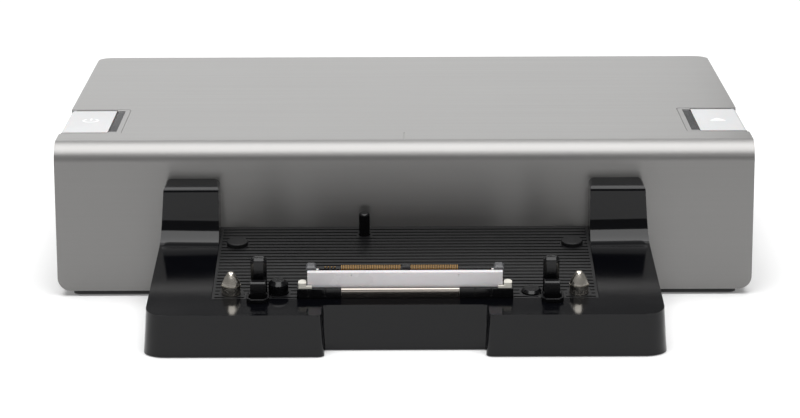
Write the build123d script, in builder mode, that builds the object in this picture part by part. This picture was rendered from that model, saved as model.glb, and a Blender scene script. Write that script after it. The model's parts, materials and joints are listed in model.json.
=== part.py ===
from build123d import *
from math import cos, radians, sin, tan
import os

os.makedirs("parts", exist_ok=True)

# A laptop docking station. +Z is up, -Y is the front, where the notebook sits down on the deck.
# The origin is on the table, under the middle of the whole station.

# ------------------------------------------------------------------ driving dimensions, mm
width = 345.0                 # housing, side to side
height = 77.5                 # table to the top of the housing
housing_depth = 225.0
deck_depth = 106.0            # deck in front of the housing face
deck_width = 243.0            # deck casing, side to side at the table
deck_back_z = 35.4            # deck surface where it meets the housing
deck_tilt = 8.37              # degrees, the deck rises towards the housing
draft = 3.9                   # degrees, moulded walls lean in as they rise
clearance = 0.3               # between a moving piece and what it runs in

y_rear = (housing_depth + deck_depth) / 2
y_face = y_rear - housing_depth
y_front = y_face - deck_depth

# housing
cover_thickness = 2.2
cover_bottom = 2.8
bend_radius = 9.6
cover_corner = 6.5
side_x = width / 2 - 0.6      # outer face of the side panels
side_thickness = 2.5
rear_panel_y = y_rear - 8.0   # the socket panel is set back under the cover
panel_thickness = 2.0

# bottom pan and feet
foot_height = 1.0
foot_radius = 8.0
pan_thickness = 1.6
pan_top = foot_height + pan_thickness
rim_height = 7.4

# deck casing
casing_bottom = 0.4
wall = 2.4
deck_skin = 4.0
frame_thickness = 1.5         # sheet under the deck skin that carries cones and plungers
notch_half = 37.4
notch_depth = 11.3
casing_corner, notch_lip = 11.0, 3.2
horn_inner_x = 90.7
horn_depth = 15.0
horn_top = 60.0
horn_bend = 12.5              # radius where a horn runs into the deck

# ribbed insert, measured along the slope from the housing face
plate_half = 90.3
plate_length = 86.9           # to the front edge; the back edge is clear of the housing
plate_back = -0.5
plate_thickness = 2.2
rib_pitch, rib_count = 3.7, 23
first_groove = -3.9
groove_width = 1.1
groove_depth = 0.7
ring_radius = 5.95            # plain ring round a hole in the ribs
pocket_gap = 0.2

# things that stand on the deck: x, and distance along the slope
pad_x, pad_s, pad_radius, pad_height = 81.5, -22.4, 5.2, 2.0
pin_x, pin_s, pin_radius, pin_height = -19.7, -10.0, 2.65, 11.4
cone_x, cone_s, cone_radius, cone_height = 81.4, -80.2, 4.55, 10.6
cone_relief, cone_seat, cone_shoulder = 0.2, 4.3, 4.5
post_x, post_s, post_height = 68.4, -77.4, 17.0
hook_x, hook_s, hook_height = 68.6, -84.85, 7.9
hook_width, hook_thickness = 7.2, 2.9
plunger_x, plunger_s, plunger_radius = 59.3, -79.5, 4.65
plunger_heights = {"left": 6.4, "right": 1.7}
plunger_spring_seat, plunger_spring_length = -14.6, 7.4
pin_spring_seat, pin_spring_length = -24.4, 20.2

# docking connector
connector_half = 50.4
connector_front = -86.6
connector_back = -71.6
hood_half = 45.5
hood_front, hood_back = -83.9, -73.5
hood_top, hood_back_top = 11.8, 9.4
guide_top, key_top = 13.5, 12.8
slot_front, slot_back = -80.9, -75.0
slot_half = 41.5              # the slot's ends are flush with the corner guides
guide_x, guide_width = 43.9, 4.8
dot_x, dot_drop, dot_radius = 25.0, 1.3, 0.35
bar_left, bar_right = -29.7, 25.3
ledge_top, block_top, bar_foot = 1.9, 4.6, 0.1
ledge_depth = 2.4
board_h = -8.0                # top of the docking board, below the deck surface
board_thickness = 1.6
contact_pitch = 0.8

# buttons, in the two top corners of the housing
bezel_inner_x = 141.5
bezel_front, bezel_back = y_face + 24.5, y_face + 82.5
cap_inner_x = 148.6
cap_front, cap_back = y_face + 27.6, y_face + 79.2
cap_bottom = 70.4
well_bottom = 62.0
stem_y = -16.0
power_travel, eject_travel = 1.2, 3.0

# eject mechanism
latch_z, latch_thickness = 5.0, 1.6
latch_travel = 4.25
pivot_y, pivot_z = -40.0, 40.0
lever_x = 152.5
lever_reach = 24.0

# main board
main_z = 12.0
main_half, main_front, main_back = 150.0, 20.0, 156.0
main_top = main_z + board_thickness

# upgrade bay in the left side
bay_front, bay_back = 26.3, 154.7
bay_low, bay_high = 45.4, 59.2
bay_inner_x = -41.0

# ------------------------------------------------------------------ shared geometry
on_floor = (Align.CENTER, Align.CENTER, Align.MIN)
tilt = radians(deck_tilt)
deck_normal = (0, -sin(tilt), cos(tilt))
lean = tan(radians(draft))
frame_under = -deck_skin - frame_thickness
wire_radius = 0.3             # all coil springs but the shutter's
deck_plane = Plane(
    origin=(0, y_face, deck_back_z), x_dir=(1, 0, 0), z_dir=deck_normal
)


def on_deck(h=0.0):
    """Plane parallel to the deck, h above it: local x is X, local y runs up the slope."""
    return deck_plane.offset(h)


def deck_yz(s, h=0.0):
    """Y and Z of the point at distance s along the slope and h above the deck."""
    return (y_face + s * cos(tilt) - h * sin(tilt), deck_back_z + s * sin(tilt) + h * cos(tilt))


def deck_point(x, s, h):
    """Point in space from deck coordinates."""
    y, z = deck_yz(s, h)
    return (x, y, z)


def deck_section(x, s):
    """Plane across the deck through a point on it: local x is X, local y is the deck's normal."""
    return Plane(origin=deck_point(x, s, 0), x_dir=(1, 0, 0), z_dir=(0, -cos(tilt), -sin(tilt)))


def deck_z(y):
    """Height of the deck surface at depth y."""
    return deck_back_z + (y - y_face) * tan(tilt)


def casing_volume(inset, skin):
    """Space inside the deck casing: the outer skin for inset 0, the hollow for the wall's."""
    low = casing_bottom - (1.0 if inset else 0.0)
    half = deck_width / 2 - inset
    front = y_front + inset
    deck_low = skin / cos(tilt)
    with BuildPart() as block:
        with BuildSketch(Plane.XY.offset(low)):
            with BuildLine():
                Polyline(
                    (-half, y_face + 12),
                    (-half, front),
                    (-notch_half - inset, front),
                    (-notch_half - inset, front + notch_depth),
                    (notch_half + inset, front + notch_depth),
                    (notch_half + inset, front),
                    (half, front),
                    (half, y_face + 12),
                    close=True,
                )
            make_face()
            outer = vertices().filter_by(lambda v: abs(v.X) > half - 1 and v.Y < y_face)
            fillet(outer, radius=casing_corner - inset)
            lips = vertices().filter_by(lambda v: abs(v.X) < notch_half + inset + 1 and v.Y < front + 1)
            fillet(lips, radius=notch_lip)
            inner = vertices().filter_by(lambda v: abs(v.X) < notch_half + inset + 1 and v.Y > front + 10)
            fillet(inner, radius=1.2)
        extrude(amount=45, taper=draft)
        with BuildSketch(Plane.YZ.offset(-half - 5)):
            Polygon(
                (y_front - 8, low - 1),
                (y_face, low - 1),
                (y_face, deck_z(y_face) - deck_low),
                (y_front - 8, deck_z(y_front - 8) - deck_low),
                align=None,
            )
        extrude(amount=2 * half + 10, mode=Mode.INTERSECT)
    return block.part


def horn_volume(side, inset):
    """One rear horn, with the bend that runs it into the deck."""
    top = horn_top - inset
    face = y_face - horn_depth + inset
    end = y_face - 45
    outer_foot = deck_width / 2 - inset
    outer_top = outer_foot - (top - casing_bottom) * lean
    inner = horn_inner_x + inset
    drop = inset / cos(tilt)
    with BuildPart() as horn:
        with BuildSketch(Plane.YZ):
            with BuildLine():
                Polyline(
                    (y_face, 12),
                    (y_face, top),
                    (face, top - 1.2),
                    (face, deck_z(face) - drop),
                    (end, deck_z(end) - drop),
                    (end, 12),
                    close=True,
                )
            make_face()
            bend = vertices().filter_by(lambda v: abs(v.Y - face) < 0.01 or abs(v.X - face) < 0.01)
            fillet(bend.sort_by(Axis.Y)[0], radius=horn_bend + inset)
            nose = vertices().filter_by(lambda v: abs(v.X - face) < 0.01).sort_by(Axis.Y)[-1]
            fillet(nose, radius=max(2.6 - inset, 0.3))
        extrude(amount=130 * side)
        with BuildSketch(Plane.XZ.offset(-y_face)):
            Polygon(
                (side * inner, 12),
                (side * (outer_foot - (12 - casing_bottom) * lean), 12),
                (side * outer_top, top),
                (side * inner, top),
                align=None,
            )
            corners = vertices().filter_by(lambda v: abs(v.Y - top) < 0.01)
            fillet(corners, radius=max(3.0 - inset, 0.5))
        extrude(amount=60, mode=Mode.INTERSECT)
    return horn.part


# ------------------------------------------------------------------ bottom pan, feet, screws
base_screw_places = [(x, y) for x in (-105, 105) for y in (-150, -110)]
base_screw_places += [(x, y) for x in (-153, 153) for y in (-2, 148)]
foot_places = [(x, y) for x in (-148, 148) for y in (-42, 132)] + [(-85, -150), (85, -150)]
standoff_places = [(x, y) for x in (-140, 0, 140) for y in (36, 128)]
stud_places = [(0, -130), (96, -90), (130, -41)]
spring_post_y = -96.0

with BuildPart() as bottom_pan:
    with BuildSketch(Plane.XY.offset(foot_height)) as pan_outline:
        with Locations((0, (y_face + 0.5 + y_rear - 2) / 2)):
            Rectangle(330.0, y_rear - 2 - y_face - 0.5)
        with Locations((0, (y_front + 3.4 + y_face + 10) / 2)):
            Rectangle(deck_width - 6.8, y_face + 10 - y_front - 3.4)
        with Locations((0, y_front + (notch_depth + 3.4) / 2)):
            Rectangle(2 * notch_half + 6.8, notch_depth + 3.4, mode=Mode.SUBTRACT)
        fillet(pan_outline.vertices().filter_by(lambda v: v.Y < y_face - 80 and abs(v.X) < 60), radius=2.0)
        fillet(pan_outline.vertices().filter_by(lambda v: v.Y < y_face - 80 and abs(v.X) > 100), radius=8.4)
        fillet(pan_outline.vertices().filter_by(lambda v: abs(v.X) > 160), radius=4.0)
    extrude(amount=pan_thickness)
    with BuildSketch(Plane.XY.offset(pan_top)):
        add(offset(pan_outline.sketch, amount=-3.0, mode=Mode.PRIVATE))
        add(offset(pan_outline.sketch, amount=-5.0, mode=Mode.PRIVATE), mode=Mode.SUBTRACT)
        with Locations((0, y_face + 120)):
            Rectangle(width, 250, mode=Mode.SUBTRACT)
    extrude(amount=rim_height)
    # standoffs under the main board
    with BuildSketch(Plane.XY.offset(pan_top)):
        with Locations(*standoff_places):
            RegularPolygon(3.4, 6)
            Circle(1.35, mode=Mode.SUBTRACT)
    extrude(amount=main_z - pan_top)
    # guide studs for the latch plate, and the post that its spring pulls on
    with BuildSketch(Plane.XY.offset(pan_top)):
        with Locations(*stud_places):
            Circle(3.2)
    extrude(amount=latch_z - clearance - pan_top)
    with BuildSketch(Plane.XY.offset(pan_top)):
        with Locations(*stud_places):
            Circle(1.5)
    extrude(amount=6.0)
    with Locations((-40, spring_post_y, pan_top)):
        Box(6, 2, 9, align=on_floor)
    # screw seats, foot recesses and cooling slots
    with Locations(*[(x, y, foot_height) for x, y in base_screw_places]):
        Cylinder(1.6, 20, mode=Mode.SUBTRACT)
        Cylinder(3.3, 2.0, mode=Mode.SUBTRACT)
    with Locations(*[(x, y, foot_height) for x, y in foot_places]):
        Cylinder(foot_radius + 0.1, 1.6, mode=Mode.SUBTRACT)
    with Locations((-75, 60, foot_height), (75, 60, foot_height)):
        with GridLocations(6.0, 34.0, 14, 2):
            Box(2.2, 26, 8, mode=Mode.SUBTRACT)

with BuildPart() as rubber_feet:
    with Locations(*[(x, y, 0) for x, y in foot_places]):
        Cylinder(foot_radius, foot_height + 0.8, align=on_floor)
    chamfer(rubber_feet.edges().group_by(Axis.Z)[0], length=0.5)

with BuildPart() as base_screws:
    with Locations(*[(x, y, foot_height + 0.1) for x, y in base_screw_places]):
        Cylinder(2.9, 0.9, align=on_floor)
    with Locations(*[(x, y, foot_height + 0.9) for x, y in base_screw_places]):
        Cylinder(1.4, 8, align=on_floor)
    with Locations(*[(x, y, foot_height) for x, y in base_screw_places]):
        Box(3.6, 0.8, 1.2, mode=Mode.SUBTRACT)
        Box(0.8, 3.6, 1.2, mode=Mode.SUBTRACT)

# ------------------------------------------------------------------ housing cover
with BuildPart() as housing_cover:
    with BuildSketch(Plane.YZ.offset(-width / 2)):
        with BuildLine():
            Polyline(
                (y_face, cover_bottom), (y_face, height), (y_rear, height), (y_rear, cover_bottom),
                close=True,
            )
        make_face()
        fillet(vertices().sort_by(Axis.Y)[-2:].sort_by(Axis.X)[0], radius=bend_radius)
        with BuildLine(mode=Mode.PRIVATE) as inside:
            Polyline(
                (y_face + cover_thickness, cover_bottom - 1),
                (y_face + cover_thickness, height - cover_thickness),
                (y_rear + 1, height - cover_thickness),
                (y_rear + 1, cover_bottom - 1),
                close=True,
            )
        with BuildSketch(Plane.XY, mode=Mode.PRIVATE) as hollow:
            make_face(inside.edges())
            corner = vertices().filter_by(lambda v: v.X < y_face + 5 and v.Y > height / 2)
            fillet(corner, radius=bend_radius - cover_thickness)
        add(hollow.sketch, mode=Mode.SUBTRACT)
    extrude(amount=width)
    fillet(housing_cover.edges().filter_by(Axis.Z).group_by(Axis.Y)[-1], radius=8.0)
    feet_edges = housing_cover.edges().filter_by(Axis.Y).group_by(Axis.Z)[0]
    fillet(feet_edges, radius=cover_corner)
    # window behind the deck casing, for the ribbon and the latch plate
    with Locations((0, y_face, 10)):
        Box(232, 12, 42, mode=Mode.SUBTRACT)
    # corner openings for the button bezels
    with BuildSketch(Plane.XY.offset(height - 6)):
        for side in (-1, 1):
            with Locations((side * (bezel_inner_x + width / 2 + 5) / 2, (bezel_front + bezel_back) / 2)):
                RectangleRounded(width / 2 + 5 - bezel_inner_x, bezel_back - bezel_front, 2.5)
    extrude(amount=10, mode=Mode.SUBTRACT)
    # centring mark on the top, just behind the bend
    with Locations((0, y_face + 16.5, height)):
        Box(0.5, 16, 0.5, mode=Mode.SUBTRACT)


# ------------------------------------------------------------------ side panels
def side_panel(side):
    """Side wall of the housing with its turned-in bottom edge and corner relief."""
    inner_top = height - cover_thickness - 0.1
    with BuildPart() as panel:
        with BuildSketch(Plane.XZ.offset(-(y_rear - 0.6))):
            with BuildLine():
                Polyline(
                    (side * side_x, inner_top + 2),
                    (side * side_x, cover_bottom),
                    (side * (side_x - 8), cover_bottom),
                    (side * (side_x - 8), cover_bottom + side_thickness),
                    (side * (side_x - side_thickness), cover_bottom + side_thickness),
                    (side * (side_x - side_thickness), inner_top + 2),
                    close=True,
                )
            make_face()
            turned = vertices().filter_by(lambda v: abs(v.X) > side_x - 3 and v.Y < 10)
            fillet(turned.sort_by(Axis.Y)[0], radius=cover_corner)
            fillet(turned.sort_by(Axis.Y)[-1], radius=cover_corner - side_thickness)
        extrude(amount=housing_depth - 0.6)
        # the cover's inner line trims the top and the front
        with BuildSketch(Plane.YZ.offset(side * (side_x - 20))):
            with BuildLine():
                Polyline(
                    (y_face + cover_thickness + 0.1, cover_bottom),
                    (y_face + cover_thickness + 0.1, inner_top),
                    (y_rear, inner_top),
                    (y_rear, cover_bottom),
                    close=True,
                )
            make_face()
            front_top = vertices().filter_by(lambda v: v.X < y_face + 5 and v.Y > height / 2)
            fillet(front_top, radius=bend_radius - cover_thickness)
        extrude(amount=side * 30, mode=Mode.INTERSECT)
        # screw bosses on the turned-in foot
        with Locations(*[(side * 158, y, cover_bottom) for y in (-2, 148)]):
            Box(18, 7, 8, align=on_floor)
        with Locations(*[(side * 153, y, 0) for y in (-2, 148)]):
            Cylinder(1.45, 40, mode=Mode.SUBTRACT)
        # opening for the button bezel
        with Locations((side * side_x, (bezel_front + bezel_back) / 2, (well_bottom + 90) / 2)):
            Box(20, bezel_back - bezel_front, 90 - well_bottom, mode=Mode.SUBTRACT)
    return panel.part


with BuildPart() as side_panel_left:
    add(side_panel(-1))
    with Locations((-side_x, (bay_front + bay_back) / 2, (bay_low + bay_high) / 2)):
        Box(12, bay_back - bay_front, bay_high - bay_low, mode=Mode.SUBTRACT)

with BuildPart() as side_panel_right:
    add(side_panel(1))
    with Locations((side_x, 92, 42)):
        with GridLocations(0.1, 5.5, 1, 16):
            Box(12, 2.4, 26, mode=Mode.SUBTRACT)
    # lock slot
    with BuildSketch(Plane.YZ.offset(side_x - 10)):
        with Locations((154, 22)):
            RectangleRounded(7.0, 3.0, 1.2)
    extrude(amount=20, mode=Mode.SUBTRACT)

# ------------------------------------------------------------------ rear sockets
socket_y = rear_panel_y + panel_thickness   # outer face of the socket panel
d_sub_z = 22.0


def d_profile(top_width, depth, slant=1.3):
    """Rounded D outline, wider at the top."""
    with BuildSketch() as outline:
        Polygon(
            (-top_width / 2, depth / 2),
            (top_width / 2, depth / 2),
            (top_width / 2 - slant, -depth / 2),
            (-top_width / 2 + slant, -depth / 2),
            align=None,
        )
        fillet(outline.vertices(), radius=2.2)
    return outline.sketch


def d_socket(x, shell_width, rows, pitch, male=False, shell_depth=8.4, flange_extra=14.4):
    """D-shaped socket: block on the board, flange plate, metal lip, contacts, two jack posts."""
    face = Plane(origin=(x, socket_y + 0.6, d_sub_z), x_dir=(-1, 0, 0), z_dir=(0, 1, 0))
    with BuildPart() as socket:
        with BuildSketch(face.offset(-0.6)):
            RectangleRounded(shell_width + flange_extra, 12.5, 1.0)
        extrude(amount=1.0)
        with Locations((x, rear_panel_y - 5.2, main_top)):
            Box(shell_width + 4, 10, d_sub_z + 5.5 - main_top, align=on_floor)
        with Locations((x, rear_panel_y + 1, d_sub_z)):
            Box(shell_width + 4, 3, 11)
        with BuildSketch(face):
            add(d_profile(shell_width, shell_depth))
        extrude(amount=4.0)
        if male:
            with BuildSketch(face.offset(4.0)):
                add(offset(d_profile(shell_width, shell_depth), amount=-0.6, mode=Mode.PRIVATE))
            extrude(amount=-4.6, mode=Mode.SUBTRACT)
        for row, count in enumerate(rows):
            row_y = (len(rows) - 1) * 1.42 - row * 2.84
            with BuildSketch(face.offset(-0.6 if male else 4.0)):
                with Locations((0, row_y)):
                    with GridLocations(pitch, 1, count, 1):
                        Circle(0.5)
            extrude(amount=4.0 if male else -1.5, mode=Mode.ADD if male else Mode.SUBTRACT)
        with BuildSketch(face.offset(0.4)):
            with Locations((-(shell_width / 2 + 4.4), 0), ((shell_width / 2 + 4.4), 0)):
                RegularPolygon(2.7, 6)
        extrude(amount=3.6)
        with BuildSketch(face.offset(4.0)):
            with Locations((-(shell_width / 2 + 4.4), 0), ((shell_width / 2 + 4.4), 0)):
                Circle(1.3)
        extrude(amount=-3.0, mode=Mode.SUBTRACT)
    return socket.part


socket_x = {
    "power": 140.0, "network": 116.0, "usb": (94.0, 75.0), "ps2": 55.0, "vga": 25.0,
    "dvi": -22.0, "serial": -68.0, "parallel": -112.0, "audio": -152.0,
}

with BuildPart() as vga_port:
    add(d_socket(socket_x["vga"], 17.0, (5, 5, 5), 2.29, shell_depth=8.6))
with BuildPart() as serial_port:
    add(d_socket(socket_x["serial"], 17.4, (5, 4), 2.77, male=True))
with BuildPart() as parallel_port:
    add(d_socket(socket_x["parallel"] - 2, 39.4, (13, 12), 2.77, flange_extra=13.4))
with BuildPart() as dvi_port:
    add(d_socket(socket_x["dvi"], 24.2, (8, 8, 8), 1.95, shell_depth=8.8, flange_extra=13.4))

with BuildPart() as power_inlet:
    with Locations((socket_x["power"], socket_y, main_top)):
        Box(13, 22, 14, align=(Align.CENTER, Align.MAX, Align.MIN))
    barrel = Plane(origin=(socket_x["power"], socket_y, main_top + 7), x_dir=(-1, 0, 0), z_dir=(0, 1, 0))
    with BuildSketch(barrel):
        Circle(5.6)
    extrude(amount=1.6)
    with BuildSketch(barrel.offset(1.6)):
        Circle(3.75)
    extrude(amount=-11, mode=Mode.SUBTRACT)
    with BuildSketch(barrel.offset(-9.5)):
        Circle(0.5)
    extrude(amount=9.5)

with BuildPart() as network_jack:
    with Locations((socket_x["network"], socket_y + 0.8, main_top)):
        Box(16, 21, 13.6, align=(Align.CENTER, Align.MAX, Align.MIN))
    with Locations((socket_x["network"], socket_y + 1, main_top + 6.6)):
        Box(11.8, 24, 7.6, mode=Mode.SUBTRACT)
    with Locations((socket_x["network"], socket_y + 1, main_top + 1.9)):
        Box(6.2, 24, 3.2, mode=Mode.SUBTRACT)
    with Locations((socket_x["network"], socket_y - 11, main_top + 9.2)):
        with GridLocations(1.02, 1, 8, 1):
            Box(0.4, 10, 0.5)

with BuildPart() as usb_ports:
    for x in socket_x["usb"]:
        with Locations((x, socket_y + 0.8, main_top)):
            Box(14.6, 18, 15.8, align=(Align.CENTER, Align.MAX, Align.MIN))
        for level in (4.1, 11.7):
            with Locations((x, socket_y + 0.8, main_top + level)):
                Box(12.6, 20, 5.2, mode=Mode.SUBTRACT)
            with Locations((x, socket_y - 4.6, main_top + level + 1.1)):
                Box(11.0, 10, 1.9)

with BuildPart() as ps2_ports:
    with Locations((socket_x["ps2"], socket_y + 0.8, main_top)):
        Box(14, 13, 28, align=(Align.CENTER, Align.MAX, Align.MIN))
    for level in (7.0, 21.0):
        ring = Plane(
            origin=(socket_x["ps2"], socket_y + 0.8, main_top + level), x_dir=(-1, 0, 0), z_dir=(0, 1, 0)
        )
        with BuildSketch(ring):
            Circle(4.7)
            Circle(3.9, mode=Mode.SUBTRACT)
            with Locations((0, 0.6)):
                Rectangle(2.2, 0.9)
            with PolarLocations(2.5, 6, start_angle=30):
                Circle(0.45)
        extrude(amount=-7, mode=Mode.SUBTRACT)

with BuildPart() as audio_jacks:
    for level in (6.0, 18.0):
        with Locations((socket_x["audio"], socket_y, main_top + level)):
            Box(11, 13, 11.6, align=(Align.CENTER, Align.MAX, Align.CENTER))
        mouth = Plane(
            origin=(socket_x["audio"], socket_y, main_top + level), x_dir=(-1, 0, 0), z_dir=(0, 1, 0)
        )
        with BuildSketch(mouth):
            Circle(3.4)
        extrude(amount=1.4)
        with BuildSketch(mouth.offset(1.4)):
            Circle(1.8)
        extrude(amount=-11, mode=Mode.SUBTRACT)
    with Locations((socket_x["audio"], socket_y - 3, main_top)):
        Box(9, 9, 20, align=(Align.CENTER, Align.MAX, Align.MIN))

with BuildPart() as rear_panel:
    with Locations((0, rear_panel_y, cover_bottom + 0.1)):
        Box(
            2 * (side_x - side_thickness - 0.4), panel_thickness,
            height - cover_thickness - cover_bottom - 0.3, align=(Align.CENTER, Align.MIN, Align.MIN),
        )
    # the two lower corners clear the side panels' turned-in feet
    for side in (-1, 1):
        with Locations((side * 170, rear_panel_y, cover_bottom)):
            Box(26, 10, 2 * side_thickness + 0.4, mode=Mode.SUBTRACT)
        with Locations((side * 167.5, rear_panel_y, cover_bottom + 2)):
            Box(6, 10, 14, mode=Mode.SUBTRACT)
    openings = [
        (socket_x["power"], 7.0, 13.4, 14.4), (socket_x["network"], 6.8, 16.4, 14.0),
        (socket_x["usb"][0], 7.9, 15.0, 16.2), (socket_x["usb"][1], 7.9, 15.0, 16.2),
        (socket_x["ps2"], 14.0, 14.4, 28.4), (socket_x["audio"], 12.0, 11.4, 24.0),
    ]
    for x, z, w, h in openings:
        with Locations((x, rear_panel_y, main_top + z)):
            Box(w, 10, h, mode=Mode.SUBTRACT)
    for x, w in ((socket_x["vga"], 21.4), (socket_x["serial"], 21.8),
                 (socket_x["parallel"] - 2, 43.8), (socket_x["dvi"], 28.6)):
        with Locations((x, rear_panel_y, d_sub_z)):
            Box(w, 10, 11.4, mode=Mode.SUBTRACT)
    # louvres above the sockets
    with Locations((0, rear_panel_y, 60)):
        with GridLocations(6.0, 1, 40, 1):
            Box(2.4, 10, 14, mode=Mode.SUBTRACT)

# ------------------------------------------------------------------ main board
with BuildPart() as main_board:
    with Locations((0, (main_front + main_back) / 2, main_z)):
        Box(2 * main_half, main_back - main_front, board_thickness, align=on_floor)
    with Locations(*[(x, y, main_top) for x, y in standoff_places]):
        Hole(1.7)
    # the corner by the audio jacks reaches out to them
    with Locations((-154, 150, main_z)):
        Box(12, 12, board_thickness, align=on_floor)

with BuildPart() as board_screws:
    with Locations(*[(x, y, main_top) for x, y in standoff_places]):
        Cylinder(2.8, 1.6, align=on_floor)
    with Locations(*[(x, y, main_top + 0.2) for x, y in standoff_places]):
        Cylinder(1.3, 7.5, align=(Align.CENTER, Align.CENTER, Align.MAX))
    with Locations(*[(x, y, main_top + 1.6) for x, y in standoff_places]):
        Box(3.6, 0.7, 1.4, mode=Mode.SUBTRACT)

chip_places = [  # x, y, width, depth, height
    (-60, 70, 27, 27, 2.2), (30, 80, 20, 20, 1.6), (80, 60, 14, 10, 1.4), (-110, 95, 16, 12, 1.6),
    (20, 23, 56, 6, 4.4), (115, 95, 12, 12, 6.5),
]
with BuildPart() as board_chips:
    for x, y, w, d, h in chip_places:
        with Locations((x, y, main_top)):
            Box(w, d, h, align=on_floor)
    with Locations((125, 112, main_top), (104, 112, main_top), (125, 128, main_top)):
        Cylinder(4.0, 10.5, align=on_floor)

ribbon_left, ribbon_width = -5.0, 50.0
with BuildPart() as ribbon_cable:
    with BuildSketch(Plane.YZ.offset(ribbon_left)):
        start_y, start_z = deck_yz(-63.6, board_h - board_thickness / 2)
        with BuildLine():
            FilletPolyline((start_y, start_z), (y_face - 44, 15.2), (main_front, 15.2), radius=18)
            Line((main_front, 15.2), (main_front, 14.4))
            FilletPolyline((main_front, 14.4), (y_face - 44, 14.4), (start_y, start_z - 0.8), radius=18)
            Line((start_y, start_z - 0.8), (start_y, start_z))
        make_face()
    extrude(amount=ribbon_width)

# ------------------------------------------------------------------ upgrade bay
bay_y = (bay_front + bay_back) / 2
bay_z = (bay_low + bay_high) / 2
bay_width = bay_back - bay_front
bay_height = bay_high - bay_low

with BuildPart() as bay_module:
    with Locations((-side_x + 0.2, bay_y, bay_z)):
        Box(128, bay_width - 0.6, bay_height - 0.6, align=(Align.MIN, Align.CENTER, Align.CENTER))
    # finger pull in the outer edge
    with Locations((-side_x, bay_y, bay_low)):
        Box(9, 34, 7.0, mode=Mode.SUBTRACT)
    fillet(bay_module.edges().filter_by(Axis.Z).group_by(Axis.X)[0], radius=0.6)

with BuildPart() as bay_cage:
    with Locations((-side_x + side_thickness + 0.2, bay_y, bay_z)):
        Box(
            bay_inner_x + side_x - side_thickness, bay_width + 1.6, bay_height + 1.6,
            align=(Align.MIN, Align.CENTER, Align.CENTER),
        )
    with Locations((-side_x, bay_y, bay_z)):
        Box(
            bay_inner_x + side_x - 0.6, bay_width - 0.2, bay_height - 0.2,
            align=(Align.MIN, Align.CENTER, Align.CENTER), mode=Mode.SUBTRACT,
        )
    # hangers up to the underside of the cover
    for x in (-150, -60):
        for y in (bay_front - 0.3, bay_back + 0.3):
            with Locations((x, y, bay_high + 0.5)):
                Box(
                    12, 1.0, height - cover_thickness - bay_high - 0.5,
                    align=on_floor,
                )


# ------------------------------------------------------------------ buttons
def button_bezel(side, travel):
    """Corner frame and well of a button, with the window for its light strip."""
    middle = (bezel_front + bezel_back) / 2
    length = bezel_back - bezel_front - 0.4
    inner = bezel_inner_x + 0.2
    outer = side_x - 0.1
    with BuildPart() as bezel:
        with Locations((side * (inner + outer) / 2, middle, well_bottom)):
            Box(outer - inner, length, height - 0.1 - well_bottom, align=on_floor)
        fillet(bezel.edges().filter_by(Axis.Z), radius=2.0)
        # the well under the cap, open to the side above its sill
        with Locations((side * (inner + 1.6), middle, well_bottom + 1.5)):
            Box(
                outer - inner - 3.5, length - 3.0, height,
                align=(Align.MIN if side > 0 else Align.MAX, Align.CENTER, Align.MIN), mode=Mode.SUBTRACT,
            )
        with Locations((side * (outer - 4), middle, cap_bottom - travel - clearance)):
            Box(
                20, cap_back - cap_front + 2 * clearance, height,
                align=(Align.MIN if side > 0 else Align.MAX, Align.CENTER, Align.MIN), mode=Mode.SUBTRACT,
            )
        # rail beside the cap, with the pocket for its light strip
        with Locations((side * inner, middle, height - 5.6)):
            Box(
                cap_inner_x - clearance - inner, length, 5.5,
                align=(Align.MIN if side > 0 else Align.MAX, Align.CENTER, Align.MIN),
            )
        fillet(
            bezel.edges().filter_by(Axis.Z).filter_by(lambda e: abs(e.center().X) < inner + 0.4
                                                      and e.center().Z > height - 5.7),
            radius=1.9,
        )
        with Locations((side * 146.3, middle, height)):
            Box(4.2, length - 8.0, 2 * 3.6, mode=Mode.SUBTRACT)
    return bezel.part


def light_strip(side):
    """Ridged light window beside a button."""
    middle = (bezel_front + bezel_back) / 2
    length = bezel_back - bezel_front - 8.6
    with BuildPart() as strip:
        with Locations((side * 146.15, middle, height - 3.6)):
            Box(3.4, length, 3.3, align=on_floor)
        with Locations((side * 146.15, middle, height - 0.3)):
            with GridLocations(1, 1.5, 1, 30):
                Box(3.4, 0.6, 0.8, mode=Mode.SUBTRACT)
    return strip.part


def button_cap(side):
    """Hollow cap with a rounded outer edge."""
    middle = (cap_front + cap_back) / 2
    length = cap_back - cap_front
    outer = width / 2 - 0.3
    with BuildPart() as cap:
        with Locations((side * (cap_inner_x + outer) / 2, middle, cap_bottom)):
            Box(outer - cap_inner_x, length, height - 0.1 - cap_bottom, align=on_floor)
        top_edge = cap.edges().filter_by(Axis.Y).sort_by(lambda e: side * e.center().X)[-2:]
        fillet(top_edge.sort_by(Axis.Z)[-1], radius=1.8)
        with Locations((side * (cap_inner_x + outer) / 2, middle, cap_bottom - 1)):
            Box(
                outer - cap_inner_x - 3.2, length - 3.2, height - 1.9 - cap_bottom + 1,
                align=on_floor, mode=Mode.SUBTRACT,
            )
    return cap.part


with BuildPart() as button_bezels:
    add(button_bezel(-1, power_travel))
    add(button_bezel(1, eject_travel))
    # the eject stem passes through the floor of the well
    with Locations((lever_x, stem_y, well_bottom)):
        Cylinder(2.9, 10, mode=Mode.SUBTRACT)
with BuildPart() as light_strips:
    add(light_strip(-1))
    add(light_strip(1))

cap_ceiling = height - 1.9
switch_x, switch_y = -160.0, -22.0
with BuildPart() as power_button:
    add(button_cap(-1))
    with Locations((switch_x, switch_y, cap_ceiling + 0.2)):
        Cylinder(1.5, cap_ceiling + 0.2 - 67.3, align=(Align.CENTER, Align.CENTER, Align.MAX))

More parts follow.
